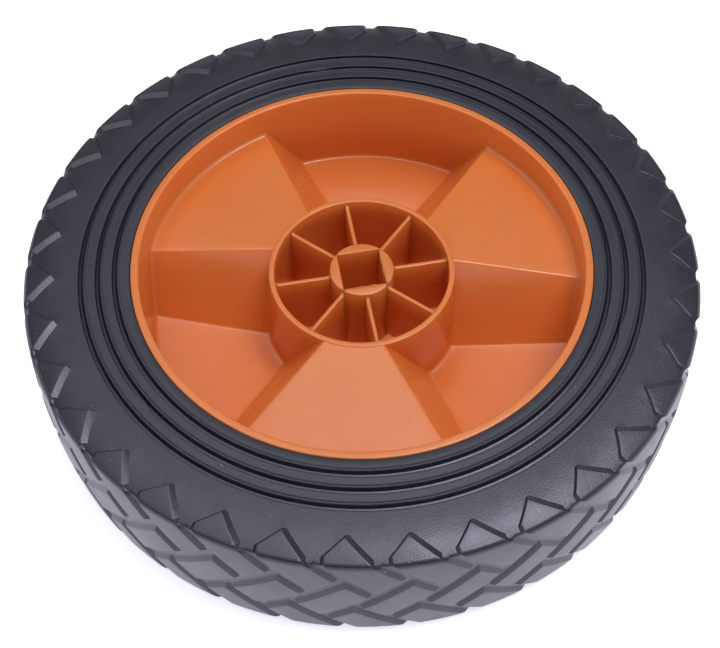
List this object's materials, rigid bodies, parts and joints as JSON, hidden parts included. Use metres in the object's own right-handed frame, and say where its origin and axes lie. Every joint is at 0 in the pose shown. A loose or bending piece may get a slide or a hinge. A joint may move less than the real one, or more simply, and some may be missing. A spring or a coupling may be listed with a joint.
{
  "type": "wheel",
  "caption": "Garden machine wheel: black rubber tyre with a herringbone tread on an orange moulded plastic disc with a square axle hole.",
  "frame": {"origin": "centre of the wheel, on the axle line in the mid-plane", "axes": "+Z along the axle out of the pictured face, +X square to one side of the axle hole; the wheel lies on its side"},
  "size_m": [0.2, 0.2, 0.0434],
  "materials": {
    "disc_plastic": "satin orange moulded plastic",
    "tyre": "dull black moulded rubber"
  },
  "bodies": {
    "root": {"wheel_disc": "disc_plastic", "tyre": "tyre"}
  },
  "joints": []
}
